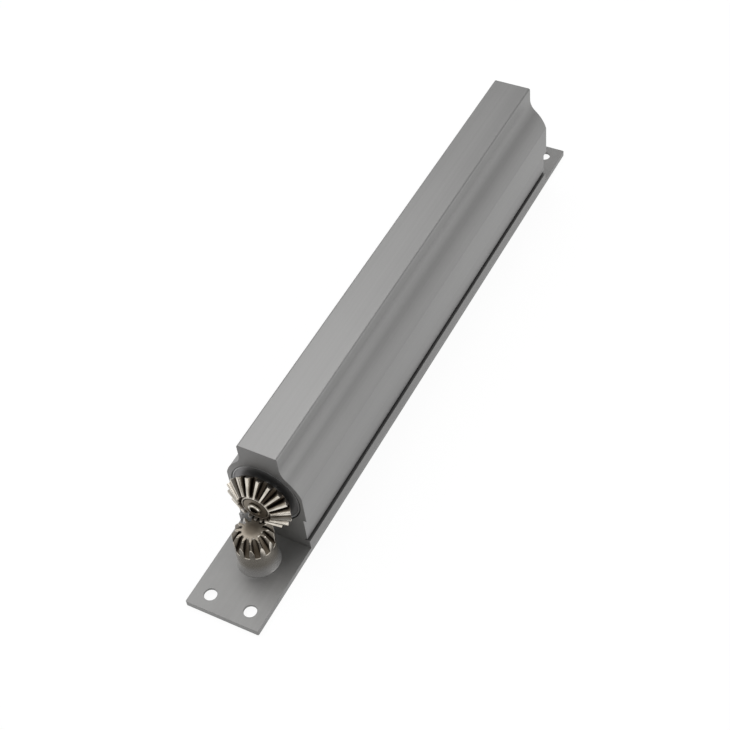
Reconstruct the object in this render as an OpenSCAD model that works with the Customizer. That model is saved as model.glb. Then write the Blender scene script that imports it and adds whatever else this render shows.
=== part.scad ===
// Concealed door closer for a pivot door.
// A spring and hydraulic closer tube lies in an extruded rail on a mounting plate.
// Its shaft leaves the tube at the front, where a pair of bevel gears carries the
// torque to the upright floor pivot.
// X runs along the rail, Y across it and Z up. The origin is the middle of the
// plate's underside, and the door is closed.

/* [Mounting plate] */
// Width of the plate
plate_width = 40; // [39:0.5:44]
// Thickness of the plate
plate_thickness = 3; // [3:0.25:4]
// Radius of the plate's corners
plate_corner_r = 0.7; // [0.5:0.1:3]
// Diameter of the four fixing holes
fixing_hole_d = 6.6; // [5.5:0.1:7]
// Straight land of the fixing holes above their countersinks
fixing_hole_land = 1.2; // [0.8:0.1:2]
// Distance of the fixing holes from the plate's ends
fixing_hole_inset = 8.3; // [7:0.1:10]
// Spacing of the fixing holes across the plate
fixing_hole_spacing = 22; // [18:0.5:24]
// Distance of the floor pivot from the plate's front end
pivot_inset = 35.3; // [34:0.1:40]
// Bare length of plate behind the rail
rear_land = 27.3; // [20:0.1:40]

/* [Rail] */
// Length of the rail and of the closer tube
rail_length = 282.2; // [270:0.1:320]
// Height of the tube's axis above the plate's underside
axis_height = 36.7; // [36.5:0.1:40]
// Wall between the tube's bore and the round shoulder
rail_wall = 2.85; // [2.6:0.05:3.2]
// Flat taken off the shoulder at the rail's sides
side_trim = 0.7; // [0.4:0.1:1]
// Height of the neck's top above the tube's axis
neck_rise = 30.6; // [28:0.1:36]
// Width of the neck
neck_width = 21.5; // [18:0.5:24]
// Radius of the neck's upper edges
neck_edge_r = 1; // [0.4:0.1:2]
// Radius between neck and shoulder
neck_fillet_r = 9.6; // [7:0.1:10]
// Drop of the rail's lip below the tube's axis
lip_drop = 12; // [10:0.1:13]
// Step from the lip in to the lower wall
lip_step = 1.65; // [0.8:0.05:2]
// Height of the foot flange
flange_height = 5.3; // [4:0.1:6]
// Height of the groove above the foot flange
groove_height = 1.2; // [0.8:0.1:2]
// Depth of the groove above the foot flange
groove_depth = 1.6; // [1:0.1:3]

/* [Fasteners] */
// Diameter of the countersunk rail screws
rail_screw_d = 5; // [4:0.5:5]
// Diameter of a rail screw's head
rail_screw_head_d = 9.2; // [9:0.1:9.6]
// Length of a rail screw
rail_screw_length = 16; // [12:1:18]
// Spacing of the rail screws across the rail
rail_screw_spacing = 20; // [16:1:22]
// Distance of the outer rail screws from the rail's ends
rail_screw_inset = 26; // [20:1:60]
// Diameter of the set screws that lock the tube
lock_screw_d = 6; // [5:0.5:6]
// Distance of the set screws from the rail's ends
lock_screw_inset = 40; // [36:1:60]

/* [Closer tube] */
// Outer diameter of the tube
tube_d = 36; // [36:0.5:38]
// Wall of the tube
tube_wall = 2; // [1.8:0.1:2.2]
// Depth of the open mouth in front of the front cap
mouth_recess = 4; // [3:0.5:8]
// Width of the rim left around the tube's chamfered mouth
mouth_rim = 0.5; // [0.3:0.1:1]
// Length of the chamfer inside the tube's mouth
mouth_chamfer = 2.5; // [1:0.1:3]
// Length of the front cap
cap_length = 16; // [14:0.5:20]
// Length of the shaft seal
seal_length = 4; // [3:0.5:5]
// Outer diameter of the shaft seal
seal_d = 20; // [18:0.5:22]
// Wall of the shaft's plain bush
bush_wall = 2; // [1.5:0.1:2.5]

/* [Bevel gears] */
// Teeth of the gear on the closer's shaft
gear_teeth = 18; // [18:1:20]
// Teeth of the pinion on the floor pivot
pinion_teeth = 12; // [12:1:13]
// Module at the wide end of the teeth
tooth_module = 1.83; // [1.8:0.01:1.9]
// Depth of the tooth spaces below the pitch line, as a share of the module
dedendum_factor = 1.15; // [1.15:0.05:1.25]
// Turn of the gear from a space straight below its axis
mesh_turn = 3.2; // [0:0.1:5]
// Pressure angle
pressure_angle = 20; // [18:0.5:22]
// Backlash at the wide end, taken off the pinion's teeth
backlash = 0.5; // [0.2:0.05:0.6]
// Length of the gear's teeth
tooth_length = 9.6; // [9:0.1:10]
// Land behind the gear's teeth
gear_back_land = 1.2; // [0.8:0.1:2]
// Gap between the gear and the rail's front face
gear_gap = 1.8; // [1:0.1:3]
// Distance of the gear's front from the pivot's axis
gear_face = 5.9; // [5.5:0.1:6.2]
// Radius of the gear's front hub
gear_hub_r = 7.2; // [7:0.1:7.3]
// Diameter of the washer in the gear's front
gear_washer_d = 12.4; // [11:0.1:12.6]
// Thickness of the washer in the gear's front
gear_washer_thickness = 1.5; // [1:0.1:2]
// Thickness of the gear's web in front of the shaft's end
gear_web = 1.6; // [1.2:0.1:2]
// Radius of the pinion's body
pinion_r = 10.1; // [9.8:0.1:11]
// Drop of the pinion's flat top below the gear's axis
pinion_top_drop = 9.3; // [9:0.1:10.5]
// Radius of the rounding at the outer ends of the pinion's teeth
pinion_tip_r = 1.5; // [0.5:0.1:2]
// Radius of the pinion's flared foot
pinion_foot_r = 10.9; // [10.6:0.1:12]
// Height of the pinion's flared foot
pinion_foot_height = 5; // [2:0.1:6]

/* [Floor pivot] */
// Diameter of the pinion's journal in the plate
journal_d = 15; // [14:0.5:16]
// Wall of the pivot bush
pivot_bush_wall = 2; // [1.5:0.1:2.5]
// Thickness of the pinion's retaining ring
circlip_thickness = 0.9; // [0.8:0.1:1]
// Diameter of the socket for the floor spindle
socket_d = 10; // [8:0.5:11]
// Depth of the socket for the floor spindle
socket_depth = 14.5; // [12:0.5:16]
// Width of the keyway in the socket
keyway_width = 3; // [2:0.5:3]

/* [Drive shaft] */
// Diameter of the shaft in its bush
shaft_d = 12; // [11:0.5:13]
// Diameter of the shaft in the gear
gear_seat_d = 10; // [9:0.5:10]
// Width of the gear's key
key_width = 3; // [2:0.5:3]
// Diameter of the gear screw's thread
gear_screw_d = 4; // [3:0.5:4]
// Diameter of the gear screw's domed head
gear_screw_head_d = 7.4; // [7:0.1:8]
// Width of the gear screw's hexagon socket across its corners
gear_socket_d = 4.3; // [3:0.1:4.6]
// Height of the gear screw's rim under its dome
gear_screw_rim = 0.6; // [0.4:0.1:1]
// Rise of the gear screw's dome
gear_screw_dome = 1; // [0.6:0.1:1.4]
// Length of the gear screw under its head
gear_screw_length = 12; // [8:1:14]
// Length of the shaft's thrust collar
collar_length = 5; // [4:0.5:6]
// Diameter of the shaft's thrust collar
collar_d = 22; // [20:0.5:24]

/* [Thrust bearing] */
// Outer diameter of the thrust washers
thrust_d = 26; // [25:0.5:28]
// Thickness of a thrust washer
thrust_washer_thickness = 2.5; // [2:0.1:3]
// Diameter of a thrust ball
ball_d = 5; // [4.5:0.1:5]
// Number of thrust balls
ball_count = 10; // [8:1:10]
// Depth of the races in the thrust washers
race_depth = 0.8; // [0.6:0.1:1]
// Thickness of the ball cage
cage_thickness = 1.8; // [1.4:0.1:2]

/* [Helical drive] */
// Number of splines on the helical spindle
spline_count = 4; // [3:1:5]
// Width of a spline
spline_width = 4; // [3:0.5:4.5]
// Outer diameter of the splines
spline_d = 17; // [16:0.5:18]
// Root diameter of the spindle
spindle_root_d = 12.5; // [12:0.5:13]
// Space between the spindle's end and the piston's closed end
spindle_end_gap = 1; // [0.5:0.5:4]
// Travel of the drive piston for one turn of the shaft
helix_lead = 62; // [56:1:66]
// Turn of the shaft from the closed door to the fully open one
shaft_travel = 70; // [60:1:72]

/* [Drive piston] */
// Length of the drive piston
piston_length = 44; // [42:1:50]
// Length of the helical nut in the piston
nut_length = 18; // [14:1:20]
// Space between the shaft's collar and the closed piston
piston_gap = 4; // [3:0.5:6]
// Thickness of the piston's closed end
piston_end_wall = 7; // [6:0.5:8]
// Diameter of the guide pins
guide_pin_d = 5; // [4:0.5:6]
// Depth of the guide slots in the piston
guide_slot_depth = 2.6; // [2:0.1:3]

/* [Return spring] */
// Diameter of the spring's wire
wire_d = 4.4; // [4:0.1:4.6]
// Mean diameter of the spring
spring_d = 24; // [23.6:0.1:24.4]
// Number of turns of the spring
spring_turns = 13; // [10:1:15]
// Length of the pilots that centre the spring
pilot_length = 5; // [4:0.5:7]
// Diameter of the pilots that centre the spring
pilot_d = 18.8; // [17:0.1:19]

/* [Damper] */
// Diameter of the damper rod
rod_d = 8; // [7:0.5:9]
// Length of the cylinder head
head_length = 12; // [11:0.5:15]
// Length of the rod seal
rod_seal_length = 4; // [3:0.5:5]
// Outer diameter of the rod seal
rod_seal_d = 14; // [13:0.5:15]
// Inner diameter of the damper cylinder
cylinder_d = 26; // [25:0.5:27]
// Wall of the damper cylinder
cylinder_wall = 1; // [0.8:0.1:1.5]
// Length of the damper cylinder between its two seats
cylinder_length = 48; // [44:1:60]
// Length of the damper piston
damper_length = 10; // [8:0.5:12]
// Width of the damper piston's ring
damper_ring_width = 4; // [3:0.5:5]
// Depth of the damper piston's ring
damper_ring_depth = 2; // [1.5:0.1:2.5]
// Step from the damper rod in to its threaded end
rod_step = 1; // [0.6:0.1:1.2]
// Width of the damper rod's nut across its corners
rod_nut_d = 11; // [10:0.5:12]
// Height of the damper rod's nut
rod_nut_height = 4; // [3:0.5:5]
// Space between the cylinder head and the damper piston
damper_gap = 8; // [6:0.5:10]
// Diameter of the oil holes in the damper piston
oil_hole_d = 2.4; // [2:0.1:3]
// Thickness of the check valve's disc
check_disc_thickness = 0.6; // [0.4:0.1:0.8]
// Length of the spigots that centre the damper cylinder
spigot_length = 4; // [3:0.5:5]

/* [Rear plug] */
// Length of the rear plug behind the damper cylinder
plug_length = 15; // [14:0.5:20]
// Thickness of the plug's retaining ring
ring_thickness = 1.5; // [1.2:0.1:1.8]
// Space behind the retaining ring
rear_recess = 3; // [2:0.5:5]
// Thickness of the sealing rings
seal_ring_d = 2.4; // [2:0.1:2.6]
// Diameter of the speed valve screws
valve_d = 6; // [5:0.5:6]
// Spacing of the speed valve screws
valve_spacing = 14; // [13:0.5:15]

/* [Clearances] */
// Radial clearance of the tube in the rail
tube_gap = 0.25; // [0.1:0.05:0.3]
// Radial clearance of turning and sliding fits
running_gap = 0.05; // [0.03:0.01:0.08]
// Clearance of pieces that are pressed or screwed together
seat_gap = 0.02; // [0.02:0.01:0.04]
// Clearance of the splines and of the guide slots
drive_gap = 0.2; // [0.15:0.05:0.3]

/* [Hidden] */
$fn = 96;

// Tooth proportions
addendum = tooth_module;
dedendum = dedendum_factor * tooth_module;
gear_pitch_angle = atan(gear_teeth / pinion_teeth);
pinion_pitch_angle = 90 - gear_pitch_angle;
cone_distance = tooth_module * norm([gear_teeth, pinion_teeth]) / 2;
tip_angle = atan(addendum / cone_distance);
flank_steps = 5;

// Distances along the gear's axis, from the point where the two gear axes meet
gear_back = cone_distance * cos(gear_pitch_angle) + dedendum * sin(gear_pitch_angle)
    + gear_back_land;
inner_end = cone_distance - tooth_length;
gear_web_front = gear_face + gear_washer_thickness;
gear_web_back = gear_web_front + gear_web;

// Places along X
plate_length = pivot_inset + gear_back + gear_gap + rail_length + rear_land;
plate_front = -plate_length / 2;
pivot_x = plate_front + pivot_inset;
rail_front = pivot_x + gear_back + gear_gap;
rail_rear = rail_front + rail_length;
cap_x = rail_front + mouth_recess;
front_washer_x = cap_x + cap_length;
race_space = ball_d - 2 * race_depth + 2 * running_gap;
rear_washer_x = front_washer_x + thrust_washer_thickness + race_space;
ball_x = front_washer_x + thrust_washer_thickness + race_space / 2;
collar_x = rear_washer_x + thrust_washer_thickness;
spindle_x = collar_x + collar_length;
piston_x = spindle_x + piston_gap;
piston_rear = piston_x + piston_length;
spindle_length = piston_gap + piston_length - piston_end_wall - spindle_end_gap;
piston_stroke = helix_lead * shaft_travel / 360;
ring_x = rail_rear - rear_recess - ring_thickness;
plug_rear = ring_x;
plug_x = plug_rear - plug_length;
head_rear = plug_x - cylinder_length;
head_x = head_rear - head_length;
damper_x = head_rear + damper_gap;
damper_rear = damper_x + damper_length;
damper_groove_x = damper_x + (damper_length - damper_ring_width) / 2;
guide_pin_x = piston_rear - 6 - guide_pin_d / 2;

// Radii
tube_r = tube_d / 2;
tube_bore_r = tube_r - tube_wall;
rail_bore_r = tube_r + tube_gap;
shoulder_r = rail_bore_r + rail_wall;
side_y = shoulder_r - side_trim;
fit_r = tube_bore_r - seat_gap;
piston_r = tube_bore_r - running_gap;
shaft_r = shaft_d / 2;
bush_r = shaft_r + running_gap + bush_wall;
race_pitch_r = (shaft_r + thrust_d / 2) / 2 + 0.2;
guide_pin_tip_r = piston_r - guide_slot_depth + drive_gap;
journal_r = journal_d / 2;
pivot_bush_r = journal_r + running_gap + pivot_bush_wall;
cylinder_r = cylinder_d / 2;
liner_r = cylinder_r + cylinder_wall;
rod_end_r = rod_d / 2 - rod_step;
ring_floor_r = cylinder_r - damper_ring_depth;

// Heights of the pivot's pieces
pinion_base = plate_thickness + 0.1;
bush_bottom = plate_thickness / 2;
journal_bottom = 0.1;
circlip_bottom = journal_bottom + 0.3;

// Children are drawn along the tube's axis, from the given place
module on_axis(x) {
    translate([x, 0, axis_height])
        rotate([0, 90, 0])
            children();
}

// Round disc or ring along the tube's axis
module ring(x, length, outer, inner = 0) {
    on_axis(x)
        difference() {
            cylinder(r = outer, h = length);
            if (inner > 0)
                translate([0, 0, -1])
                    cylinder(r = inner, h = length + 2);
        }
}

// Involute function, in degrees
function involute(a) = tan(a) * 180 / PI - a;

// Half of a tooth's angle at a radius of the equivalent spur gear, with the tooth
// made thinner by the given amount
function half_tooth(equivalent_r, r, thinner) =
    let (base_r = equivalent_r * cos(pressure_angle))
    (PI * tooth_module / 2 - thinner) / 2 / equivalent_r * 180 / PI
        + involute(pressure_angle) - involute(acos(min(1, base_r / r)));

// One flank of the space between two teeth, from its root to beyond the tips
function space_flank(teeth, pitch_angle, thinner) =
    let (
        equivalent_r = tooth_module * teeth / 2 / cos(pitch_angle),
        half_pitch = 180 * cos(pitch_angle) / teeth,
        root_r = equivalent_r - dedendum,
        top_r = equivalent_r + 1.3 * addendum
    )
    [for (i = [0 : flank_steps])
        let (
            r = root_r + (top_r - root_r) * i / flank_steps,
            a = half_pitch - half_tooth(equivalent_r, r, thinner)
        )
        [r * cos(a) - equivalent_r, r * sin(a)]];

// Cutter for one tooth space. Every line of it runs to the origin, where the axes meet.
module tooth_space(teeth, pitch_angle, near, far, thinner = 0) {
    flank = space_flank(teeth, pitch_angle, thinner);
    other_flank = [for (i = [flank_steps : -1 : 0]) [flank[i].x, -flank[i].y]];
    rotate([0, pitch_angle, 0])
        translate([0, 0, near])
            linear_extrude(height = far - near, scale = far / near)
                scale(near / cone_distance)
                    polygon(concat(flank, other_flank));
}

// A point on the bevel gear's or pinion's axial section, by its distance from the
// meeting point of the axes and its height above the pitch line
function cone_point(pitch_angle, distance, height) = [
    distance * sin(pitch_angle) + height * cos(pitch_angle),
    distance * cos(pitch_angle) - height * sin(pitch_angle)
];

module mounting_plate() {
    hole_x = plate_length / 2 - fixing_hole_inset;
    color("silver")
        difference() {
            linear_extrude(height = plate_thickness)
                difference() {
                    rounded_plate_outline();
                    for (x = [-hole_x, hole_x], y = [-0.5, 0.5])
                        translate([x, y * fixing_hole_spacing])
                            circle(d = fixing_hole_d);
                    translate([pivot_x, 0])
                        circle(r = pivot_bush_r + seat_gap);
                    for (x = lock_screw_places())
                        translate([x, 0])
                            circle(d = lock_screw_d + 1);
                }
            for (x = [-hole_x, hole_x], y = [-0.5, 0.5])
                translate([x, y * fixing_hole_spacing, 0])
                    countersink(fixing_hole_d / 2, plate_thickness - fixing_hole_land);
            translate([pivot_x, 0, -1])
                cylinder(r = pivot_bush_r + 1.2, h = bush_bottom + 1);
            for (place = rail_screw_places())
                translate(place)
                    rail_screw_shape(seat_gap);
        }
}

// Cone of 90 degrees that opens down to the plate's underside
module countersink(hole_r, depth) {
    rotate_extrude()
        polygon([[0, -1], [hole_r + depth, -1], [hole_r + depth, 0], [hole_r, depth], [0, depth]]);
}

module rounded_plate_outline() {
    corner_x = plate_length / 2 - plate_corner_r;
    corner_y = plate_width / 2 - plate_corner_r;
    square([plate_length, 2 * corner_y], center = true);
    square([2 * corner_x, plate_width], center = true);
    for (x = [-corner_x, corner_x], y = [-corner_y, corner_y])
        translate([x, y])
            circle(r = plate_corner_r);
}

// Rail section, with the tube's axis at its origin and the rail's height along Y
module rail_section() {
    foot = plate_thickness - axis_height;
    flange_top = foot + flange_height;
    neck_r = neck_width / 2;
    fillet_x = neck_r + neck_fillet_r;
    fillet_y = sqrt(pow(shoulder_r + neck_fillet_r, 2) - pow(fillet_x, 2));
    touch = shoulder_r / (shoulder_r + neck_fillet_r);
    wall_r = side_y - lip_step;
    difference() {
        union() {
            intersection() {
                circle(r = shoulder_r);
                square([2 * side_y, 3 * shoulder_r], center = true);
            }
            translate([-neck_r, 0])
                square([neck_width, neck_rise - neck_edge_r]);
            translate([neck_edge_r - neck_r, 0])
                square([neck_width - 2 * neck_edge_r, neck_rise]);
            for (side = [-1, 1])
                translate([side * (neck_r - neck_edge_r), neck_rise - neck_edge_r])
                    circle(r = neck_edge_r);
            translate([-side_y, -lip_drop])
                square([2 * side_y, lip_drop]);
            translate([-wall_r, foot])
                square([2 * wall_r, -foot]);
            translate([-plate_width / 2, foot])
                square([plate_width, flange_height]);
            for (side = [0, 1])
                mirror([side, 0])
                    difference() {
                        polygon([
                            [0, 0], [fillet_x * touch, fillet_y * touch],
                            [fillet_x, fillet_y], [0, fillet_y]
                        ]);
                        translate([fillet_x, fillet_y])
                            circle(r = neck_fillet_r);
                    }
        }
        circle(r = rail_bore_r);
        for (side = [-1, 1])
            translate([side * (wall_r - groove_depth / 2 + 1), flange_top + groove_height / 2])
                square([groove_depth + 2, groove_height], center = true);
    }
}

module rail_housing() {
    color("darkgray")
        difference() {
            translate([rail_front, 0, axis_height])
                rotate([90, 0, 90])
                    linear_extrude(height = rail_length)
                        rail_section();
            for (place = rail_screw_places())
                translate(place)
                    cylinder(d = rail_screw_d + 2 * seat_gap, h = rail_screw_length + 1);
            for (x = lock_screw_places())
                translate([x, 0, 0])
                    cylinder(d = lock_screw_d + 2 * seat_gap, h = axis_height);
        }
}

// Rail screws stand in three pairs and are countersunk in the plate's underside
function rail_screw_places() = [
    for (
        x = [rail_front + rail_screw_inset, (rail_front + rail_rear) / 2, rail_rear - rail_screw_inset],
        y = [-0.5, 0.5]
    ) [x, y * rail_screw_spacing, 0]
];

module rail_screw_shape(gap) {
    head_r = rail_screw_head_d / 2 + gap;
    shank_r = rail_screw_d / 2 + gap;
    rotate_extrude()
        polygon([
            [0, 0], [head_r, 0], [shank_r, head_r - shank_r],
            [shank_r, rail_screw_length], [0, rail_screw_length]
        ]);
}

module rail_screws() {
    color("dimgray")
        for (place = rail_screw_places())
            translate(place)
                difference() {
                    rail_screw_shape(0);
                    translate([0, 0, -1])
                        cylinder(d = 3.4, h = 2.8, $fn = 6);
                }
}

function lock_screw_places() = [rail_front + lock_screw_inset, rail_rear - lock_screw_inset];

// The set screws reach a shallow dimple in the tube
module tube_lock_screws() {
    top = axis_height - tube_r;
    dimple = 0.5;
    color("dimgray")
        for (x = lock_screw_places())
            translate([x, 0, 0])
                difference() {
                    rotate_extrude()
                        polygon([
                            [0, plate_thickness], [lock_screw_d / 2, plate_thickness],
                            [lock_screw_d / 2, top - 2], [1.2, top - seat_gap],
                            [1.2, top + dimple - seat_gap], [0, top + dimple - seat_gap]
                        ]);
                    translate([0, 0, plate_thickness - 1])
                        cylinder(d = lock_screw_d / 2, h = 4, $fn = 6);
                }
}

module closer_tube() {
    color("gainsboro")
        difference() {
            ring(rail_front, rail_length, tube_r, tube_bore_r);
            for (x = lock_screw_places())
                translate([x, 0, axis_height - tube_r - 0.5])
                    cylinder(r = 1.2 + seat_gap, h = 1);
            for (side = [-1, 1])
                translate([guide_pin_x, 0, axis_height])
                    rotate([-90 * side, 0, 0])
                        cylinder(d = guide_pin_d + 2 * seat_gap, h = tube_r + 1);
            ring(ring_x - seat_gap, ring_thickness + 2 * seat_gap, tube_bore_r + 0.9);
            on_axis(rail_front)
                rotate_extrude()
                    polygon([
                        [0, -1], [tube_r - mouth_rim, -1], [tube_r - mouth_rim, 0],
                        [tube_bore_r, mouth_chamfer], [0, mouth_chamfer]
                    ]);
        }
}

module pivot_bush() {
    color("goldenrod")
        translate([pivot_x, 0, bush_bottom])
            difference() {
                cylinder(r = pivot_bush_r, h = plate_thickness + 0.05 - bush_bottom);
                translate([0, 0, -1])
                    cylinder(r = journal_r + running_gap, h = plate_thickness + 2);
            }
}

// Pinion: teeth cut in the top of a round body, whose foot flares out to the plate in
// a hollow curve, on a journal that turns in the plate. It is drawn hanging from the
// point where the gear axes meet.
module pivot_pinion() {
    outer_angle = pinion_pitch_angle + tip_angle;
    top_r = pinion_top_drop * tan(outer_angle);
    round_z = pinion_r / tan(outer_angle) + pinion_tip_r * tan(outer_angle / 2);
    base = axis_height - pinion_base;
    flare = pinion_foot_r - pinion_r;
    hollow_r = (flare * flare + pinion_foot_height * pinion_foot_height) / 2 / flare;
    tip = axis_height - journal_bottom;
    groove = axis_height - circlip_bottom - circlip_thickness - seat_gap;
    tip_points = [for (i = [6 : -1 : 0])
        let (a = outer_angle * i / 6)
        [pinion_r - pinion_tip_r + pinion_tip_r * cos(a), round_z - pinion_tip_r * sin(a)]
    ];
    color("rosybrown")
        translate([pivot_x, 0, axis_height])
            rotate([180, 0, 0])
                difference() {
                    rotate_extrude()
                        difference() {
                            polygon(concat(
                                [[0, pinion_top_drop], [top_r, pinion_top_drop]],
                                tip_points,
                                [
                                    [pinion_r, base - pinion_foot_height],
                                    [pinion_foot_r, base - pinion_foot_height], [pinion_foot_r, base],
                                    [journal_r, base], [journal_r, groove], [journal_r - 0.7, groove],
                                    [journal_r - 0.7, axis_height - circlip_bottom + seat_gap],
                                    [journal_r, axis_height - circlip_bottom + seat_gap],
                                    [journal_r, tip], [0, tip]
                                ]
                            ));
                            translate([pinion_r + hollow_r, base - pinion_foot_height])
                                circle(r = hollow_r);
                        }
                    for (i = [0 : pinion_teeth - 1])
                        rotate([0, 0, (i + 0.5) * 360 / pinion_teeth + mesh_turn * gear_teeth / pinion_teeth])
                            tooth_space(
                                pinion_teeth, pinion_pitch_angle, 0.8 * inner_end, 1.4 * cone_distance, backlash
                            );
                    translate([0, 0, tip - socket_depth])
                        cylinder(d = socket_d, h = socket_depth + 1);
                    translate([0, -keyway_width / 2, tip - socket_depth])
                        cube([socket_d / 2 + 1.2, keyway_width, socket_depth + 1]);
                }
}

module pinion_circlip() {
    inner_r = journal_r - 0.7 + seat_gap;
    color("dimgray")
        translate([pivot_x, 0, circlip_bottom])
            difference() {
                cylinder(r = pivot_bush_r - 0.2, h = circlip_thickness);
                translate([0, 0, -1])
                    cylinder(r = inner_r, h = circlip_thickness + 2);
                translate([-pivot_bush_r - 1, -inner_r / 2, -1])
                    cube([pivot_bush_r, inner_r, circlip_thickness + 2]);
            }
}

// Bevel gear on the closer's shaft. It is drawn from the point where the gear axes
// meet, and a tooth space faces down to take a tooth of the pinion. A washer lies in
// its front.
module bevel_gear() {
    color("rosybrown")
        on_axis(pivot_x)
            difference() {
                rotate_extrude()
                    polygon([
                        [0, gear_face], [gear_hub_r, gear_face],
                        cone_point(gear_pitch_angle, inner_end, -dedendum * inner_end / cone_distance),
                        cone_point(gear_pitch_angle, inner_end, addendum * inner_end / cone_distance),
                        cone_point(gear_pitch_angle, cone_distance, addendum),
                        cone_point(gear_pitch_angle, cone_distance, -dedendum),
                        [shaft_r + 5, gear_back], [0, gear_back]
                    ]);
                for (i = [0 : gear_teeth - 1])
                    rotate([0, 0, i * 360 / gear_teeth - mesh_turn])
                        tooth_space(gear_teeth, gear_pitch_angle, inner_end - 0.3, 1.3 * cone_distance);
                translate([0, 0, gear_web_back])
                    cylinder(d = gear_seat_d + 2 * seat_gap, h = gear_back);
                cylinder(d = gear_screw_d + 2 * seat_gap, h = gear_back);
                cylinder(d = gear_washer_d + 1, h = gear_web_front);
                translate([-gear_seat_d / 2 - 1.4, -key_width / 2, gear_web_back])
                    cube([gear_seat_d / 2, key_width, gear_back]);
            }
}

module gear_key() {
    color("dimgray")
        on_axis(pivot_x + gear_web_back)
            translate([-gear_seat_d / 2 - 1.4 + seat_gap, -key_width / 2 + seat_gap, seat_gap])
                cube([3, key_width - 2 * seat_gap, gear_back - gear_web_back - 2 * seat_gap]);
}

module gear_washer() {
    color("gray")
        ring(pivot_x + gear_face, gear_washer_thickness, gear_washer_d / 2, gear_screw_d / 2 + seat_gap);
}

// Button head screw, with a hexagon socket in its low dome
module gear_screw() {
    head_r = gear_screw_head_d / 2;
    dome_r = (head_r * head_r + gear_screw_dome * gear_screw_dome) / 2 / gear_screw_dome;
    top = gear_screw_rim + gear_screw_dome;
    color("gainsboro")
        on_axis(pivot_x + gear_face) {
            cylinder(d = gear_screw_d, h = gear_screw_length);
            difference() {
                union() {
                    translate([0, 0, -gear_screw_rim])
                        cylinder(r = head_r, h = gear_screw_rim);
                    intersection() {
                        translate([0, 0, dome_r - top])
                            sphere(r = dome_r);
                        translate([0, 0, -top])
                            cylinder(r = head_r, h = gear_screw_dome);
                    }
                }
                translate([0, 0, -top - 1])
                    cylinder(d = gear_socket_d, h = top + 0.8, $fn = 6);
            }
        }
}

// Section of the helical spindle, and of the nut that runs on it
module spline_section(gap) {
    circle(d = spindle_root_d + 2 * gap);
    intersection() {
        circle(d = spline_d + 2 * gap);
        for (i = [0 : spline_count - 1])
            rotate(i * 360 / spline_count)
                translate([0, -spline_width / 2 - gap])
                    square([spline_d, spline_width + 2 * gap]);
    }
}

// A left-handed helix, whose turn at any place depends on that place alone,
// so that the spindle and the nut agree
module helix(x, length, gap) {
    on_axis(x)
        rotate([0, 0, -360 * (x - spindle_x) / helix_lead])
            linear_extrude(height = length, twist = 360 * length / helix_lead, slices = ceil(length / 3))
                spline_section(gap, $fn = 24);
}

module drive_shaft() {
    seat_length = gear_back - gear_web_back;
    color("lightsteelblue") {
        difference() {
            union() {
                ring(pivot_x + gear_web_back + seat_gap, seat_length + 1, gear_seat_d / 2);
                ring(pivot_x + gear_back + seat_gap, collar_x - pivot_x - gear_back, shaft_r);
                ring(collar_x, collar_length, collar_d / 2);
                helix(spindle_x - 1, spindle_length + 1, 0);
            }
            ring(pivot_x + gear_web_back - 1, gear_screw_length, gear_screw_d / 2 + seat_gap);
            on_axis(pivot_x + gear_web_back)
                translate([-gear_seat_d / 2 - 1.4, -key_width / 2, -1])
                    cube([3 + seat_gap, key_width, seat_length + 1]);
        }
    }
}

// Washer with a ball race on the side that faces the balls
module thrust_washer(x, inner, race_x) {
    difference() {
        ring(x, thrust_washer_thickness, thrust_d / 2, inner);
        on_axis(race_x)
            rotate_extrude()
                translate([race_pitch_r, 0])
                    circle(d = ball_d + 2 * running_gap);
    }
}

module front_thrust_washer() {
    color("silver")
        thrust_washer(front_washer_x, shaft_r + 0.3, ball_x);
}

module rear_thrust_washer() {
    color("silver")
        thrust_washer(rear_washer_x, shaft_r + seat_gap, ball_x);
}

module thrust_balls() {
    color("white")
        on_axis(ball_x)
            for (i = [0 : ball_count - 1])
                rotate([0, 0, (i + 0.5) * 360 / ball_count])
                    translate([race_pitch_r, 0, 0])
                        sphere(d = ball_d);
}

module ball_cage() {
    color("goldenrod")
        difference() {
            ring(ball_x - cage_thickness / 2, cage_thickness, thrust_d / 2, shaft_r + 0.3);
            on_axis(ball_x - cage_thickness)
                for (i = [0 : ball_count - 1])
                    rotate([0, 0, (i + 0.5) * 360 / ball_count])
                        translate([race_pitch_r, 0, 0])
                            cylinder(d = ball_d + 2 * running_gap, h = 2 * cage_thickness);
        }
}

// Front cap, with the shaft's bush and seal in its bore and two pin-wrench holes
module front_cap() {
    color("gray")
        difference() {
            ring(cap_x, cap_length, fit_r, bush_r + seat_gap);
            ring(cap_x - 1, seal_length + 1, seal_d / 2 + seat_gap);
            for (side = [-1, 1])
                on_axis(cap_x - 1)
                    translate([0, side * (seal_d / 2 + fit_r) / 2, 0])
                        cylinder(d = 2.6, h = 5);
        }
}

module shaft_bush() {
    color("goldenrod")
        ring(cap_x + seal_length, cap_length - seal_length, bush_r, shaft_r + running_gap);
}

module shaft_seal() {
    lip_r = shaft_r + running_gap;
    color("dimgray")
        on_axis(cap_x)
            rotate_extrude()
                polygon([
                    [lip_r, 0.6], [lip_r + 1, 0.2], [seal_d / 2, 0.2], [seal_d / 2, seal_length],
                    [lip_r + 1.2, seal_length], [lip_r + 1.2, 1.8], [lip_r, 1.4]
                ]);
}

// Pins through the tube's wall that keep the drive piston from turning
module guide_pins() {
    color("silver")
        for (side = [-1, 1])
            translate([guide_pin_x, 0, axis_height])
                rotate([-90 * side, 0, 0])
                    translate([0, 0, guide_pin_tip_r])
                        cylinder(d = guide_pin_d, h = tube_r - guide_pin_tip_r);
}

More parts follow.
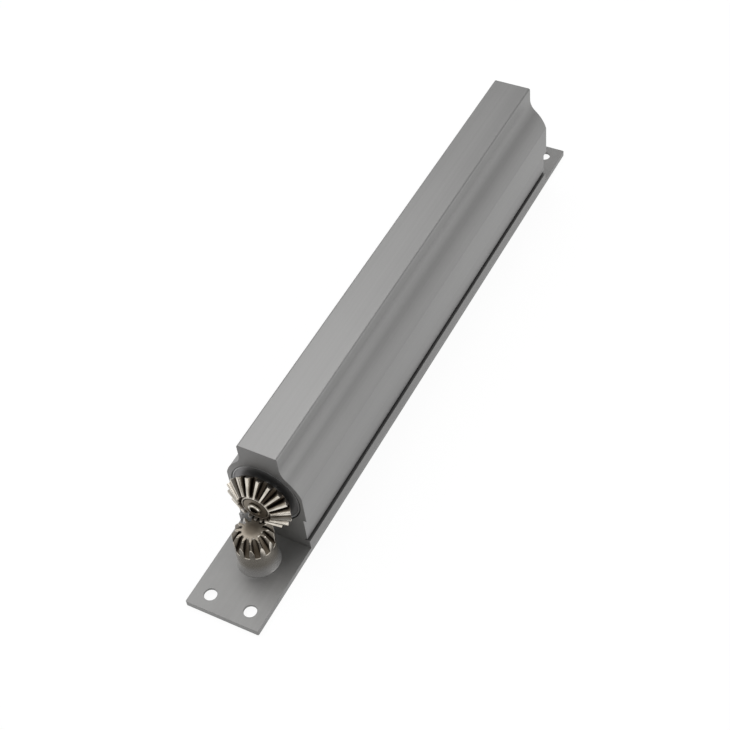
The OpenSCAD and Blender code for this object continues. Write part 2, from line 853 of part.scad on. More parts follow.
module drive_piston() {
    slot_width = guide_pin_d + 2 * drive_gap;
    slot_front = guide_pin_x - piston_stroke - slot_width / 2;
    color("slategray")
        difference() {
            union() {
                ring(piston_x, piston_length, piston_r);
                ring(piston_rear, pilot_length, pilot_d / 2);
            }
            helix(piston_x - 1, nut_length + 2, drive_gap);
            ring(piston_x + nut_length, piston_length - nut_length - piston_end_wall, spline_d / 2 + 0.5);
            ring(piston_rear - piston_end_wall - 1, piston_end_wall + pilot_length + 2, rod_d / 2 + seat_gap);
            for (side = [-1, 1])
                translate([0, side * (piston_r - guide_slot_depth / 2 + 1), axis_height])
                    translate([slot_front, -guide_slot_depth / 2 - 1, -slot_width / 2])
                        cube([piston_stroke + slot_width, guide_slot_depth + 2, slot_width]);
        }
}

// Return spring between the drive piston and the cylinder head, with closed ends.
// Its wire is one tube along a helix whose end turns lie flat.
function spring_rise(turn) =
    let (
        room = head_x - piston_rear - wire_d - 2 * running_gap,
        closed = wire_d + 0.5,
        pitch = (room - 2 * closed) / (spring_turns - 2)
    )
    turn < 1 ? closed * turn
    : turn > spring_turns - 1 ? room - closed * (spring_turns - turn)
    : closed + pitch * (turn - 1);

module return_spring() {
    steps = 16;
    sides = 6;
    count = spring_turns * steps;
    points = [
        for (i = [0 : count], j = [0 : sides - 1])
            let (
                a = 360 * i / steps,
                b = 360 * (j + 0.5) / sides,
                r = spring_d / 2 + wire_d / 2 * cos(b)
            )
            [r * cos(a), r * sin(a), spring_rise(i / steps) + wire_d / 2 * sin(b)]
    ];
    walls = [
        for (i = [0 : count - 1], j = [0 : sides - 1], half = [0, 1])
            let (
                p = i * sides + j,
                q = i * sides + (j + 1) % sides
            )
            half == 0 ? [p, q, q + sides] : [p, q + sides, p + sides]
    ];
    start_cap = [for (j = [1 : sides - 2]) [0, j + 1, j]];
    end_cap = [for (j = [1 : sides - 2]) [count * sides, count * sides + j, count * sides + j + 1]];
    color("steelblue")
        on_axis(piston_rear + wire_d / 2 + running_gap)
            polyhedron(points, concat(walls, start_cap, end_cap));
}

module damper_rod() {
    front = piston_rear - piston_end_wall;
    color("silver") {
        ring(front, damper_x - front, rod_d / 2);
        ring(damper_x, damper_length + check_disc_thickness + rod_nut_height + 1, rod_end_r);
    }
}

module damper_piston() {
    color("slategray")
        difference() {
            ring(damper_x, damper_length, cylinder_r - running_gap, rod_end_r + seat_gap);
            difference() {
                ring(damper_groove_x, damper_ring_width, cylinder_r + 1);
                ring(damper_groove_x, damper_ring_width, ring_floor_r);
            }
            on_axis(damper_x - 1)
                for (i = [0 : 3])
                    rotate([0, 0, 45 + 90 * i])
                        translate([(rod_d + cylinder_d) / 4 - 0.5, 0, 0])
                            cylinder(d = oil_hole_d, h = damper_length + 2);
        }
}

module damper_ring() {
    color("dimgray")
        ring(damper_groove_x + seat_gap, damper_ring_width - 2 * seat_gap,
            cylinder_r - running_gap, ring_floor_r + seat_gap);
}

module check_disc() {
    color("silver")
        ring(damper_rear, check_disc_thickness, (rod_d + cylinder_d) / 4 + 1.5, rod_end_r + seat_gap);
}

module rod_nut() {
    color("silver")
        on_axis(damper_rear + check_disc_thickness)
            difference() {
                cylinder(d = rod_nut_d, h = rod_nut_height, $fn = 6);
                translate([0, 0, -1])
                    cylinder(r = rod_end_r + seat_gap, h = rod_nut_height + 2);
            }
}

// Wall between spring and damper: it carries the spring, the rod seal and the cylinder
module cylinder_head() {
    groove = head_x + head_length / 2;
    color("gray")
        difference() {
            union() {
                ring(head_x, head_length, fit_r);
                ring(head_x - pilot_length, pilot_length, pilot_d / 2);
                ring(head_rear, spigot_length, cylinder_r - seat_gap);
            }
            ring(head_x - pilot_length - 1, head_length + 2 * pilot_length + 2, rod_d / 2 + running_gap);
            ring(head_rear + spigot_length - rod_seal_length, rod_seal_length + 1, rod_seal_d / 2 + seat_gap);
            seal_groove(groove);
        }
}

// Groove for a sealing ring around a piece that fits the tube's bore
module seal_groove(x) {
    difference() {
        ring(x, seal_ring_d + 0.4, tube_bore_r + 1);
        ring(x, seal_ring_d + 0.4, tube_bore_r - seal_ring_d);
    }
}

module seal_ring(x) {
    on_axis(x + seal_ring_d / 2 + 0.2)
        rotate_extrude()
            translate([tube_bore_r - seal_ring_d / 2, 0])
                circle(d = seal_ring_d - 2 * seat_gap);
}

module rod_seal() {
    color("dimgray")
        ring(head_rear + spigot_length - rod_seal_length, rod_seal_length,
            rod_seal_d / 2, rod_d / 2 + running_gap);
}

module head_seal_ring() {
    color("dimgray")
        seal_ring(head_x + head_length / 2);
}

module damper_cylinder() {
    color("gainsboro")
        ring(head_rear, cylinder_length, liner_r, cylinder_r);
}

// Places of the two sealing rings of the rear plug
function plug_grooves() = [plug_x + 6.5, plug_x + 6.5 + seal_ring_d + 1.6];

module rear_plug() {
    land = 5;
    valve_seat = plug_x + 3;
    color("gray")
        difference() {
            union() {
                ring(plug_x - spigot_length, spigot_length, cylinder_r - seat_gap);
                ring(plug_x, land, liner_r + 0.6);
                ring(plug_x + land, plug_length - land, fit_r);
            }
            for (side = [-0.5, 0.5])
                translate([0, side * valve_spacing, 0]) {
                    ring(valve_seat, plug_length, valve_d / 2 + running_gap);
                    ring(plug_x - spigot_length - 1, plug_length, valve_d / 4);
                    translate([valve_seat + 1, 0, axis_height])
                        cylinder(d = 1.6, h = tube_bore_r);
                }
            for (x = plug_grooves())
                seal_groove(x);
        }
}

module plug_seal_rings() {
    color("dimgray")
        for (x = plug_grooves())
            seal_ring(x);
}

// Internal retaining ring, open at the top
module rear_retaining_ring() {
    inner_r = tube_bore_r - 1.8;
    color("dimgray")
        difference() {
            ring(ring_x, ring_thickness, tube_bore_r + 0.8, inner_r);
            translate([ring_x - 1, -4, axis_height + inner_r - 3])
                cube([ring_thickness + 2, 8, 8]);
        }
}

// Speed valve screw, with a needle at its front and a slot in its rear
module valve_screw(side) {
    length = plug_length - 3 - 2.5;
    translate([0, side * valve_spacing / 2, 0])
        difference() {
            on_axis(plug_x + 4.5)
                rotate_extrude()
                    polygon([
                        [0, 0], [1.2, 1.6], [valve_d / 2 - 0.4, 1.6], [valve_d / 2, 2],
                        [valve_d / 2, length], [0, length]
                    ]);
            translate([plug_x + 4.5 + length - 1.4, -valve_d, axis_height - 0.5])
                cube([2, 2 * valve_d, 1]);
        }
}

module closing_speed_screw() {
    color("gold")
        valve_screw(1);
}

module latching_speed_screw() {
    color("gold")
        valve_screw(-1);
}

mounting_plate();
rail_housing();
rail_screws();
closer_tube();
tube_lock_screws();
pivot_bush();
pivot_pinion();
pinion_circlip();
bevel_gear();
gear_key();
gear_washer();
gear_screw();
drive_shaft();
rear_thrust_washer();
front_thrust_washer();
thrust_balls();
ball_cage();
front_cap();
shaft_bush();
shaft_seal();
guide_pins();
drive_piston();
return_spring();
damper_rod();
damper_piston();
damper_ring();
check_disc();
rod_nut();
cylinder_head();
rod_seal();
head_seal_ring();
damper_cylinder();
rear_plug();
plug_seal_rings();
rear_retaining_ring();
closing_speed_screw();
latching_speed_screw();
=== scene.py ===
"""A concealed door closer: rail, closer tube, bevel gears and floor pivot on a mounting plate."""
import math

import bpy
from mathutils import Matrix, Vector


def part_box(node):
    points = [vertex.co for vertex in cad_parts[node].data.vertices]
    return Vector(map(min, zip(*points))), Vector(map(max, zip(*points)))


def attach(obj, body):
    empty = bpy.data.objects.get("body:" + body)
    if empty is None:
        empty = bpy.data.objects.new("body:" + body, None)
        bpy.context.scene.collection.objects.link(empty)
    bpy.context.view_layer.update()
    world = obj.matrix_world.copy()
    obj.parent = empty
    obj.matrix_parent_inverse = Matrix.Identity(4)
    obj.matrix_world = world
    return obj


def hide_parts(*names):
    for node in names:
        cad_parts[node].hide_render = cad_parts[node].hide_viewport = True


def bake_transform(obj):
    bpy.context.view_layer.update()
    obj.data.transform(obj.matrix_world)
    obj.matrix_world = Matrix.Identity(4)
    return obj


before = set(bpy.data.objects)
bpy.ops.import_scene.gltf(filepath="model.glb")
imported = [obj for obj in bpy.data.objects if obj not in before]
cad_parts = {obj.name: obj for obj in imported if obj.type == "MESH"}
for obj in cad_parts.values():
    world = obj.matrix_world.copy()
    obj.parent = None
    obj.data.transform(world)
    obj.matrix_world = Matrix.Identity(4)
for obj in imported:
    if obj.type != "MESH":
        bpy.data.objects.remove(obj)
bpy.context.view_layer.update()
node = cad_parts
bpy.ops.object.select_all(action="DESELECT")
scene = bpy.context.scene
scene.view_settings.view_transform = "Standard"


# Camera. It looks down the rail from in front of the floor pivot and from above,
# from the place that was worked out from the photograph's edges.
camera_place = Vector((-0.44410, -0.27816, 0.58938))
camera_azimuth = math.radians(-56.018)
camera_elevation = math.radians(48.655)
camera_roll = math.radians(-8.125)
image_width = 730
focal_pixels = 1474.8
sensor_width = 36
half_pixel = 0.5 / image_width

back = Vector((
    math.sin(camera_azimuth) * math.cos(camera_elevation),
    -math.cos(camera_azimuth) * math.cos(camera_elevation),
    math.sin(camera_elevation),
))
right = (-back).cross(Vector((0, 0, 1))).normalized()
up = right.cross(-back)
image_right = right * math.cos(camera_roll) + up * math.sin(camera_roll)
image_up = up * math.cos(camera_roll) - right * math.sin(camera_roll)

bpy.ops.object.camera_add(location=camera_place)
camera = bpy.context.object
camera.name = "camera"
camera.rotation_euler = Matrix((image_right, image_up, back)).transposed().to_euler()
camera.data.sensor_width = sensor_width
camera.data.lens = focal_pixels * sensor_width / image_width
camera.data.shift_x = -half_pixel
camera.data.shift_y = half_pixel
camera.data.clip_start = 0.05
camera.data.clip_end = 20
scene.camera = camera


# Floor and light. A white table that the camera and the metal see as pure white,
# a pale room that is brighter at the horizon and darker on the camera's side,
# and two large soft lamps, one overhead and one beside the rail.
class Term:
    """A value in a material's nodes, which sums and products can use."""

    def __init__(self, tree, socket):
        self.tree = tree
        self.socket = socket

    def node(self, kind, settings, sockets, output=0):
        """Adds a node, with its settings made first and then its values or links."""
        made = self.tree.nodes.new(kind)
        for name, value in settings.items():
            setattr(made, name, value)
        for name, value in sockets.items():
            if isinstance(value, Term):
                self.tree.links.new(value.socket, made.inputs[name])
            else:
                made.inputs[name].default_value = value
        return Term(self.tree, made.outputs[output])

    def math(self, operation, first, second=0.0):
        return self.node("ShaderNodeMath", {"operation": operation}, {0: first, 1: second})

    def __add__(self, other):
        return self.math("ADD", self, other)

    def __radd__(self, other):
        return self.math("ADD", other, self)

    def __sub__(self, other):
        return self.math("SUBTRACT", self, other)

    def __rsub__(self, other):
        return self.math("SUBTRACT", other, self)

    def __mul__(self, other):
        return self.math("MULTIPLY", self, other)

    def __rmul__(self, other):
        return self.math("MULTIPLY", other, self)

    def __truediv__(self, other):
        return self.math("DIVIDE", self, other)

    def smaller(self, other):
        """The smaller of two values."""
        return self.math("MINIMUM", self, other)

    def root(self):
        """The square root."""
        return self.math("SQRT", self)

    def clamped(self):
        return self.node("ShaderNodeClamp", {}, {"Value": self})

    def rise(self, start, end, low=0.0, high=1.0):
        """A smooth step from low, where this is at start, to high, where it is at end."""
        return self.node(
            "ShaderNodeMapRange",
            {"interpolation_type": "SMOOTHSTEP"},
            {"Value": self, "From Min": start, "From Max": end, "To Min": low, "To Max": high},
        )

    def axes(self):
        """The three numbers of a place or direction."""
        made = self.tree.nodes.new("ShaderNodeSeparateXYZ")
        self.tree.links.new(self.socket, made.inputs[0])
        return [Term(self.tree, socket) for socket in made.outputs]

    def blend(self, low, high):
        """The colour that lies this far from low to high."""
        ends = [end if isinstance(end, Term) else (*end, 1) for end in (low, high)]
        return self.node(
            "ShaderNodeMix", {"data_type": "RGBA"}, {0: self, 6: ends[0], 7: ends[1]}, output=2
        )


table_white = (0.8, 0.8, 0.8, 1)
table_glow = 0.9
table_strength = 1.045
table_size = 6
table_gap = 0.0002
bpy.ops.mesh.primitive_plane_add(size=table_size, location=(0, 0, -table_gap))
floor = bpy.context.object
floor.name = "floor"
floor_white = bpy.data.materials.new("floor_white")
floor_white.use_nodes = True
tree = floor_white.node_tree
tree.nodes.clear()
rays = tree.nodes.new("ShaderNodeLightPath")
seen = Term(tree, rays.outputs["Is Camera Ray"]) + Term(tree, rays.outputs["Is Glossy Ray"])
seen = (seen + Term(tree, rays.outputs["Is Transmission Ray"])).clamped()
shadowed = seen.node("ShaderNodeBsdfDiffuse", {}, {"Color": table_white})
shining = seen.node("ShaderNodeEmission", {}, {"Color": (1, 1, 1, 1), "Strength": table_strength})
surface = seen.node("ShaderNodeMixShader", {}, {0: seen * table_glow, 1: shadowed, 2: shining})
table_output = tree.nodes.new("ShaderNodeOutputMaterial")
tree.links.new(surface.socket, table_output.inputs["Surface"])
floor.data.materials.append(floor_white)

horizon_light = 0.95
ceiling_light = 0.5
camera_side_share = 0.45
towards_camera = (-0.45, -0.39, 0.80)
world = bpy.data.worlds.new("pale_room")
scene.world = world
world.use_nodes = True
tree = world.node_tree
directions = tree.nodes.new("ShaderNodeTexCoord")
direction = Term(tree, directions.outputs["Generated"])
height = direction.axes()[2]
camera_side = direction.node(
    "ShaderNodeVectorMath", {"operation": "DOT_PRODUCT"}, {0: direction, 1: towards_camera}, output=1
)
room = height.rise(0.05, 0.32, horizon_light, ceiling_light)
room = room * camera_side.rise(0.5, 0.95, 1.0, camera_side_share)
tree.nodes["Background"].inputs["Color"].default_value = (1, 1, 1, 1)
tree.links.new(room.socket, tree.nodes["Background"].inputs["Strength"])


def soft_lamp(name, place, size, power):
    """A square lamp that faces the middle of the object."""
    bpy.ops.object.light_add(type="AREA", location=place)
    lamp = bpy.context.object
    lamp.name = name
    lamp.data.size = size
    lamp.data.energy = power
    lamp.rotation_euler = (Vector(place) * -1).to_track_quat("-Z", "Y").to_euler()


soft_lamp("overhead_lamp", (0.28, 0.52, 1.60), 1.5, 15.5)
soft_lamp("side_lamp", (0.0, -1.5, 0.5), 1.0, 5.5)


# Mounting plate. Flat steel strip, cut to length, drilled and countersunk, and
# zinc plated to a satin grey with the slight clouds of the plating bath.
plate_light = (0.275, 0.273, 0.269)
plate_dark = (0.227, 0.225, 0.221)


def new_material(name):
    """An empty material: its Principled shader, and its Object coordinates as a Term."""
    material = bpy.data.materials.new(name)
    material.use_nodes = True
    shader = material.node_tree.nodes["Principled BSDF"]
    places = material.node_tree.nodes.new("ShaderNodeTexCoord")
    return material, shader, Term(material.node_tree, places.outputs["Object"])


def noise(place, scale, detail=2, stretch=None):
    """Cloudy values round 0.5; stretch gives the pattern its own scale along each axis."""
    if stretch:
        place = place.node("ShaderNodeMapping", {}, {"Vector": place, "Scale": stretch})
    return place.node("ShaderNodeTexNoise", {}, {"Vector": place, "Scale": scale, "Detail": detail})


def relief(place, height, depth, edge_radius):
    """A normal with fine relief of this depth, and with edges that look rounded."""
    rounded = place.node("ShaderNodeBevel", {"samples": 8}, {"Radius": edge_radius})
    return place.node(
        "ShaderNodeBump", {}, {"Strength": 1.0, "Distance": depth, "Height": height, "Normal": rounded}
    )


def corners(place, reach):
    """How much each place lies in a corner of its own piece, from 0 to 1."""
    light = place.node(
        "ShaderNodeAmbientOcclusion", {"samples": 12, "only_local": True}, {"Distance": reach}, output=1
    )
    return 1 - light


def connect(shader, **values):
    """Sets or links sockets of the shader; an underline stands for a space."""
    for name, value in values.items():
        socket = shader.inputs[name.replace("_", " ")]
        if isinstance(value, Term):
            value.tree.links.new(value.socket, socket)
        else:
            socket.default_value = value


def finish_with(material, *names):
    """Gives CAD nodes this material in place of their own."""
    for name in names:
        node[name].data.materials.clear()
        node[name].data.materials.append(material)


material, shader, place = new_material("zinc_plate")
rolled = noise(place, 1.0, 4, stretch=(20, 500, 500))
clouds = noise(place, 35, 3)
tone = (rolled * 0.2 + clouds * 0.8).rise(0.3, 0.7)
connect(
    shader,
    Base_Color=tone.blend(plate_dark, plate_light),
    Metallic=0.5,
    Roughness=0.42 + clouds * 0.12,
    Normal=relief(place, rolled, 0.000003, 0.0003),
)
finish_with(material, "mounting_plate")


# Rail. One aluminium extrusion with a satin finish and faint die lines along its
# length, sawn square at both ends. Painted shade darkens the groove over its foot,
# the lower part of its walls and the top of its sawn ends, and a painted shadow
# rings the lower half of the bore.
rail_light = (0.292, 0.290, 0.287)
rail_dark = (0.264, 0.262, 0.260)
rail_sawn_low = (0.29, 0.287, 0.282)
rail_sawn_shaded_top = (0.215, 0.212, 0.209)
rail_shade_colour = (0.12, 0.118, 0.116)
foot_start = 0.004
foot_end = 0.014
saw_start = 0.0001
saw_end = 0.0003
rail_low, rail_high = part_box("rail_housing")
tube_low, tube_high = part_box("closer_tube")
axis_z = (tube_low.z + tube_high.z) / 2
tube_r = (tube_high.z - tube_low.z) / 2
gap_shadow_start = tube_r + 0.00045
gap_shadow_end = tube_r + 0.00085
gap_shadow_black = (0.02, 0.02, 0.02)

material, shader, place = new_material("satin_aluminium")
x, y, z = place.axes()
die_lines = noise(place, 1.0, 4, stretch=(4, 800, 800))
bands = noise(place, 1.0, 2, stretch=(3, 130, 130))
clouds = noise(place, 18, 2)
grain = noise(place, 4500, 1)
tone = (die_lines * 0.4 + bands * 0.3 + clouds * 0.3).rise(0.3, 0.7)
# Painted shade: the groove over the foot darkens by how deep a place lies in a corner of the rail, and
# the walls darken towards the bottom.
groove_shade = corners(place, 0.004).rise(0.25, 0.8)
foot_shade = z.rise(rail_low.z + foot_start, rail_low.z + foot_end, 0.35, 0.0)
rail_shade = (groove_shade * 0.7 + foot_shade).clamped()
satin = rail_shade.blend(tone.blend(rail_dark, rail_light), rail_shade_colour)
# Painted shade: the sawn end faces darken towards the top, from the tube's axis upwards.
sawn_shaded_colour = z.rise(axis_z, axis_z + 0.02).blend(rail_sawn_low, rail_sawn_shaded_top)
sawn = x.rise(rail_low.x + saw_start, rail_low.x + saw_end, 1.0, 0.0)
sawn = sawn + x.rise(rail_high.x - saw_end, rail_high.x - saw_start)
# Painted shadow: the bore's wall and a thin ring round it on the end faces are black, up to a little
# above the axis.
from_axis = (y * y + (z - axis_z) * (z - axis_z)).root()
gap_shadow = from_axis.rise(gap_shadow_start, gap_shadow_end, 1.0, 0.0)
gap_shadow = gap_shadow * z.rise(axis_z + 0.004, axis_z + 0.010, 1.0, 0.0)
connect(
    shader,
    Base_Color=gap_shadow.blend(sawn.blend(satin, sawn_shaded_colour), gap_shadow_black),
    Metallic=0.75,
    Roughness=0.43 + die_lines * 0.06 + sawn * 0.08,
    Normal=relief(place, die_lines + grain * 0.5, 0.000004, 0.0004),
)
finish_with(material, "rail_housing")


# Closer tube and its blackened set screws. Drawn steel tube, faced and chamfered
# at the mouth, pushed into the rail's bore and locked there from beneath.
def turned_metal(name, dark, light, metallic, roughness, edge_radius=0.0002):
    """Plain metal with fine grain, cloudy tone and painted shade in its corners, for small pieces."""
    material, shader, place = new_material(name)
    clouds = noise(place, 90, 3)
    grain = noise(place, 3000, 2)
    corner_shade_colour = [value * 0.2 for value in dark]
    tone = clouds.rise(0.3, 0.7).blend(dark, light)
    # Painted shade: corners of the piece darken towards a fifth of its dark tone.
    colour = corners(place, 0.0025).rise(0.2, 0.9, 0.0, 0.7).blend(tone, corner_shade_colour)
    connect(
        shader,
        Base_Color=colour,
        Metallic=metallic,
        Roughness=roughness + (clouds - 0.5) * 0.15,
        Normal=relief(place, grain, 0.000002, edge_radius),
    )
    return material


tube_metal = turned_metal("tube_steel", (0.36, 0.36, 0.362), (0.44, 0.44, 0.442), 0.8, 0.34)
finish_with(tube_metal, "closer_tube", "damper_cylinder")
dark_steel = turned_metal("dark_steel", (0.10, 0.10, 0.11), (0.16, 0.16, 0.17), 0.9, 0.38)
finish_with(dark_steel, "tube_lock_screws", "rail_screws")


# Front cap, with its bronze bush. Turned steel, oiled black, screwed into the
# tube's mouth so that it sits a little back from the rim.
cap_metal = turned_metal("cap_steel", (0.10, 0.10, 0.105), (0.15, 0.15, 0.155), 0.6, 0.45)
finish_with(cap_metal, "front_cap", "rear_plug", "cylinder_head")
bronze = turned_metal("bronze", (0.46, 0.31, 0.16), (0.58, 0.41, 0.23), 1.0, 0.34)
finish_with(bronze, "shaft_bush", "pivot_bush")


# Mouth ring. A thin flat ring of dull steel, pressed into the chamfer of the tube's
# mouth in front of the cap, nearly flush with the rim.
ring_r = 0.0174
ring_hole_r = 0.0085
ring_thickness = 0.0010
ring_setback = 0.0002
ring_taper = 0.96
ring_sides = 160
ring_edge = 0.00015

bpy.ops.mesh.primitive_cylinder_add(
    vertices=ring_sides, radius=ring_r, depth=ring_thickness, rotation=(0, math.radians(90), 0),
    location=(tube_low.x + ring_setback + ring_thickness / 2, 0, axis_z),
)
mouth_ring = bpy.context.object
mouth_ring.name = "mouth_ring"
bpy.ops.object.transform_apply(location=True, rotation=True, scale=True)


def select_faces(piece, test):
    """In edit mode, selects the faces whose centre and normal pass the test, and no others."""
    bpy.ops.mesh.select_mode(type="FACE")
    bpy.ops.mesh.select_all(action="DESELECT")
    bpy.ops.object.mode_set(mode="OBJECT")
    for face in piece.data.polygons:
        face.select = test(face.center, face.normal)
    bpy.ops.object.mode_set(mode="EDIT")


bpy.ops.object.mode_set(mode="EDIT")
select_faces(mouth_ring, lambda centre, normal: normal.x > 0.9)
bpy.ops.transform.resize(value=(1, ring_taper, ring_taper), center_override=(0, 0, axis_z))
select_faces(mouth_ring, lambda centre, normal: abs(normal.x) > 0.9)
bpy.ops.mesh.inset(thickness=ring_r * ring_taper - ring_hole_r, use_individual=True)
bpy.ops.mesh.bridge_edge_loops()
bpy.ops.object.mode_set(mode="OBJECT")
rounding = mouth_ring.modifiers.new("edges", "BEVEL")
rounding.width = ring_edge
rounding.segments = 2
rounding.limit_method = "ANGLE"
bpy.ops.object.modifier_apply(modifier="edges")
bpy.ops.object.shade_smooth_by_angle(angle=math.radians(30))
ring_metal = turned_metal("ring_steel", (0.19, 0.187, 0.190), (0.24, 0.237, 0.240), 0.7, 0.42)
mouth_ring.data.materials.append(ring_metal)
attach(mouth_ring, "closer_body")


# Pivot pinion. Turned from steel bar with a flared foot, twelve bevel teeth cut
# in its crown, then nickel plated. Painted shade darkens the tooth spaces and the
# corners between the teeth brown.
land_light = (0.76, 0.71, 0.63)
land_dark = (0.50, 0.46, 0.40)
space_shade_brown = (0.055, 0.040, 0.028)
root_shade_brown = (0.050, 0.038, 0.025)
crown_brown = (0.16, 0.138, 0.11)
crown_edge = (0.27, 0.24, 0.20)
body_grey = (0.80, 0.79, 0.775)
body_brown = (0.50, 0.465, 0.41)
pinion_body_r = 0.0101
skin_start = 0.00003
skin_end = 0.00025
tip_rounding = 0.0005
spaces_start_z = 0.0075
spaces_full_z = 0.0085
corners_start_z = 0.008
corners_full_z = 0.009
grey_below_z = 0.005
brown_above_z = 0.012
plating_start_z = 0.013
plating_full_z = 0.018
crown_hollow_r = 0.0022
crown_edge_r = 0.0048
pinion_low, pinion_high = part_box("pivot_pinion")
pivot_x = (pinion_low.x + pinion_high.x) / 2

material, shader, place = new_material("pinion_steel")
x, y, z = place.axes()
from_axis = ((x - pivot_x) * (x - pivot_x) + y * y).root()
# Painted shade: tooth spaces are painted brown by their depth under the teeth's outer skin, and corners
# between the teeth by occlusion.
under_skin = (pinion_body_r - from_axis).smaller(pinion_high.z - z)
rounded_tip = z.rise(pinion_high.z - 0.0018, pinion_high.z - 0.0010, 0.0, tip_rounding)
space_shade = (under_skin - rounded_tip).rise(skin_start, skin_end) * z.rise(spaces_start_z, spaces_full_z)
space_shade = space_shade * z.rise(pinion_high.z - 0.008, pinion_high.z - 0.001, 1.0, 0.8)
corner_shade = corners(place, 0.003).rise(0.2, 0.9) * z.rise(corners_start_z, corners_full_z)
painted_shade = (space_shade * 0.95 + corner_shade * 0.8).clamped()
shade_colour = corner_shade.blend(root_shade_brown, space_shade_brown)
clouds = noise(place, 160, 3)
teeth = z.rise(plating_start_z, plating_full_z)
body = z.rise(grey_below_z, brown_above_z).blend(body_grey, body_brown)
plated = teeth.blend(body, clouds.rise(0.3, 0.7).blend(land_dark, land_light))
crown = z.rise(pinion_high.z - 0.0004, pinion_high.z - 0.0001)
crown_colour = from_axis.rise(crown_hollow_r, crown_edge_r).blend(crown_brown, crown_edge)
plated = crown.blend(plated, crown_colour)
connect(
    shader,
    Base_Color=painted_shade.blend(plated, shade_colour),
    Metallic=0.78 + teeth * 0.17,
    Roughness=0.14 + clouds * 0.06 + painted_shade * 0.15 + crown * 0.2,
    Normal=relief(place, clouds, 0.000006, 0.00025),
)
finish_with(material, "pivot_pinion")


# Bevel gear. A steel blank with eighteen straight teeth that point to the pivot's
# axis, nickel plated like the pinion, bright on the lands. Painted shade darkens
# the spaces between them, their corners and the hub face brown.
tip_slope = math.tan(math.radians(61.6))
root_slope = math.tan(math.radians(50.2))
hub_r = 0.0073
gear_light = (0.78, 0.73, 0.65)
gear_dark = (0.48, 0.44, 0.38)
gear_shade_brown = (0.052, 0.038, 0.026)

material, shader, place = new_material("gear_steel")
x, y, z = place.axes()
from_axis = (y * y + (z - axis_z) * (z - axis_z)).root()
# Painted shade: the spaces are painted brown by depth below the tip cone, as are the corners, and the
# hub face inside hub_r is partly darkened.
depth = (tip_slope - from_axis / (x - pivot_x)) / (tip_slope - root_slope)
space_shade = depth.rise(0.12, 0.6) * from_axis.rise(hub_r, hub_r + 0.0004)
corner_shade = corners(place, 0.003).rise(0.25, 0.85)
hub_shade = from_axis.rise(hub_r - 0.0004, hub_r + 0.0006, 0.4, 0.0)
painted_shade = (space_shade * 0.85 + corner_shade + hub_shade).clamped()
clouds = noise(place, 160, 3)
land = clouds.rise(0.3, 0.7).blend(gear_dark, gear_light)
connect(
    shader,
    Base_Color=painted_shade.blend(land, gear_shade_brown),
    Metallic=1.0,
    Roughness=0.19 + clouds * 0.10 + painted_shade * 0.15,
    Normal=relief(place, clouds, 0.000004, 0.0002),
)
finish_with(material, "bevel_gear")


# Gear washer. Plain steel washer under the gear screw's head, turned, with the
# same plating grown dull.
washer_metal = turned_metal("washer_steel", (0.148, 0.124, 0.094), (0.212, 0.180, 0.140), 0.9, 0.3)
finish_with(washer_metal, "gear_washer")


# Gear screw. A polished domed screw that holds gear and washer on the shaft. A
# painted highlight brightens a ring round the socket in its head, and painted
# shade darkens the socket and the dome's rim brown.
socket_r = 0.00215
highlight_from = 0.0023
highlight_to = 0.0033
socket_shade_brown = (0.05, 0.04, 0.03)
rim_shade_brown = (0.13, 0.115, 0.09)
screw_dark = (0.40, 0.36, 0.30)
screw_light = (0.86, 0.82, 0.74)
material, shader, place = new_material("polished_screw")
x, y, z = place.axes()
from_axis = (y * y + (z - axis_z) * (z - axis_z)).root()
# Painted shade: the socket in the head is painted dark brown.
socket = from_axis.rise(socket_r - 0.0003, socket_r, 1.0, 0.0)
clouds = noise(place, 700, 2)
# Painted highlight: a bright ring round the socket; the head's rim and the socket's lip are painted
# shade brown.
highlight_ring = from_axis.rise(highlight_from, highlight_from + 0.0004)
highlight_ring = highlight_ring * from_axis.rise(highlight_to - 0.0003, highlight_to, 1.0, 0.0)
highlight_tone = clouds.rise(0.35, 0.65).blend(screw_dark, screw_light)
head = highlight_ring.blend(rim_shade_brown, highlight_tone)
connect(
    shader,
    Base_Color=socket.blend(head, socket_shade_brown),
    Metallic=1.0,
    Roughness=0.12 + clouds * 0.06 + socket * 0.2,
    Normal=relief(place, clouds, 0.000004, 0.0002),
)
finish_with(material, "gear_screw")


# Gear key and retaining rings. Blackened spring steel: the key is pressed into its
# slot, and the rings are snapped into their grooves.
finish_with(dark_steel, "gear_key", "pinion_circlip", "rear_retaining_ring")


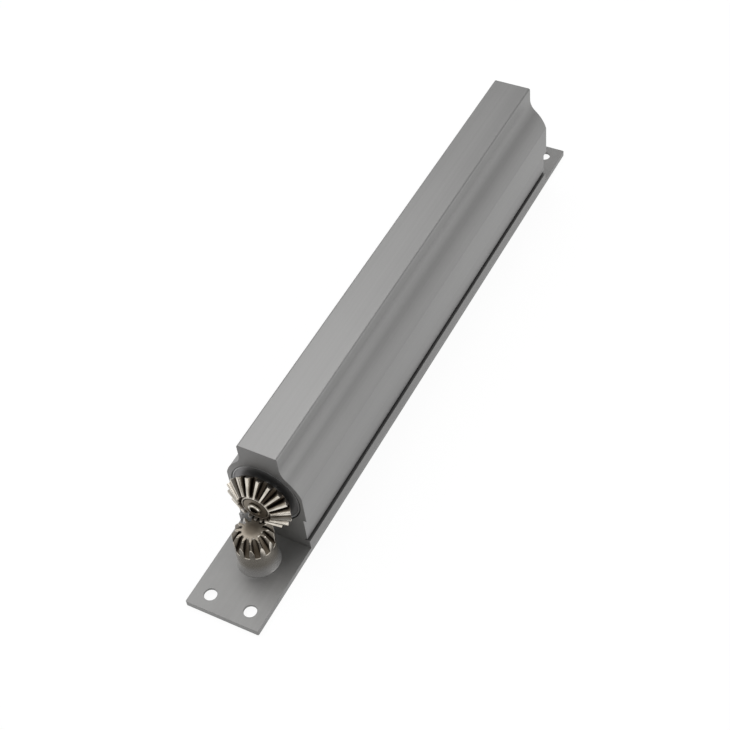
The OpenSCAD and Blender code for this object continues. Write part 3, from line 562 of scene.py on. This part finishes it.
# Drive shaft and its ball thrust bearing. The shaft and the bearing's washers are
# ground steel, the balls polished steel, and the cage that spaces them is brass.
steel = turned_metal("machined_steel", (0.40, 0.40, 0.40), (0.52, 0.52, 0.52), 1.0, 0.28)
finish_with(steel, "drive_shaft", "rear_thrust_washer", "front_thrust_washer")
polished = turned_metal("polished_steel", (0.72, 0.69, 0.63), (0.82, 0.79, 0.73), 1.0, 0.12)
finish_with(polished, "thrust_balls")
brass = turned_metal("brass", (0.62, 0.47, 0.22), (0.74, 0.59, 0.30), 1.0, 0.28)
finish_with(brass, "ball_cage")


# Drive piston with its guide pins, turned and ground. The damper's check disc is
# blanked from the same spring steel as the return spring.
finish_with(steel, "guide_pins", "drive_piston")
spring_metal = turned_metal("spring_steel", (0.18, 0.19, 0.21), (0.28, 0.29, 0.31), 1.0, 0.32)
finish_with(spring_metal, "check_disc")


# Return spring. Oil tempered wire, coiled between the piston and the damper's head.
# It has the CAD spring's shape.
merge_reach = 0.000001
coiled_spring = bpy.data.objects.new("coiled_spring", node["return_spring"].data.copy())
scene.collection.objects.link(coiled_spring)
coiled_spring.matrix_world = node["return_spring"].matrix_world
bpy.ops.object.select_all(action="DESELECT")
coiled_spring.select_set(True)
bpy.context.view_layer.objects.active = coiled_spring
bpy.ops.object.transform_apply(location=True, rotation=True, scale=True)
bpy.ops.object.mode_set(mode="EDIT")
bpy.ops.mesh.select_all(action="SELECT")
bpy.ops.mesh.remove_doubles(threshold=merge_reach)
bpy.ops.object.mode_set(mode="OBJECT")
coiled_spring.data.materials.clear()
coiled_spring.data.materials.append(spring_metal)
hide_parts("return_spring")
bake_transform(coiled_spring)


# Damper. A turned piston on a ground rod, held by a nut, and the brass screws in
# the rear plug that set the closing and the latching speed.
finish_with(steel, "damper_rod", "damper_piston", "rod_nut")
finish_with(brass, "closing_speed_screw", "latching_speed_screw")


# Seals. Moulded rings of black nitrile rubber, oiled. Two seal shaft and rod, and
# the others lie in grooves of the damper piston, the head and the rear plug.
rubber = turned_metal("seal_rubber", (0.02, 0.02, 0.02), (0.035, 0.035, 0.035), 0.0, 0.6)
finish_with(rubber, "shaft_seal", "damper_ring", "rod_seal", "head_seal_ring", "plug_seal_rings")
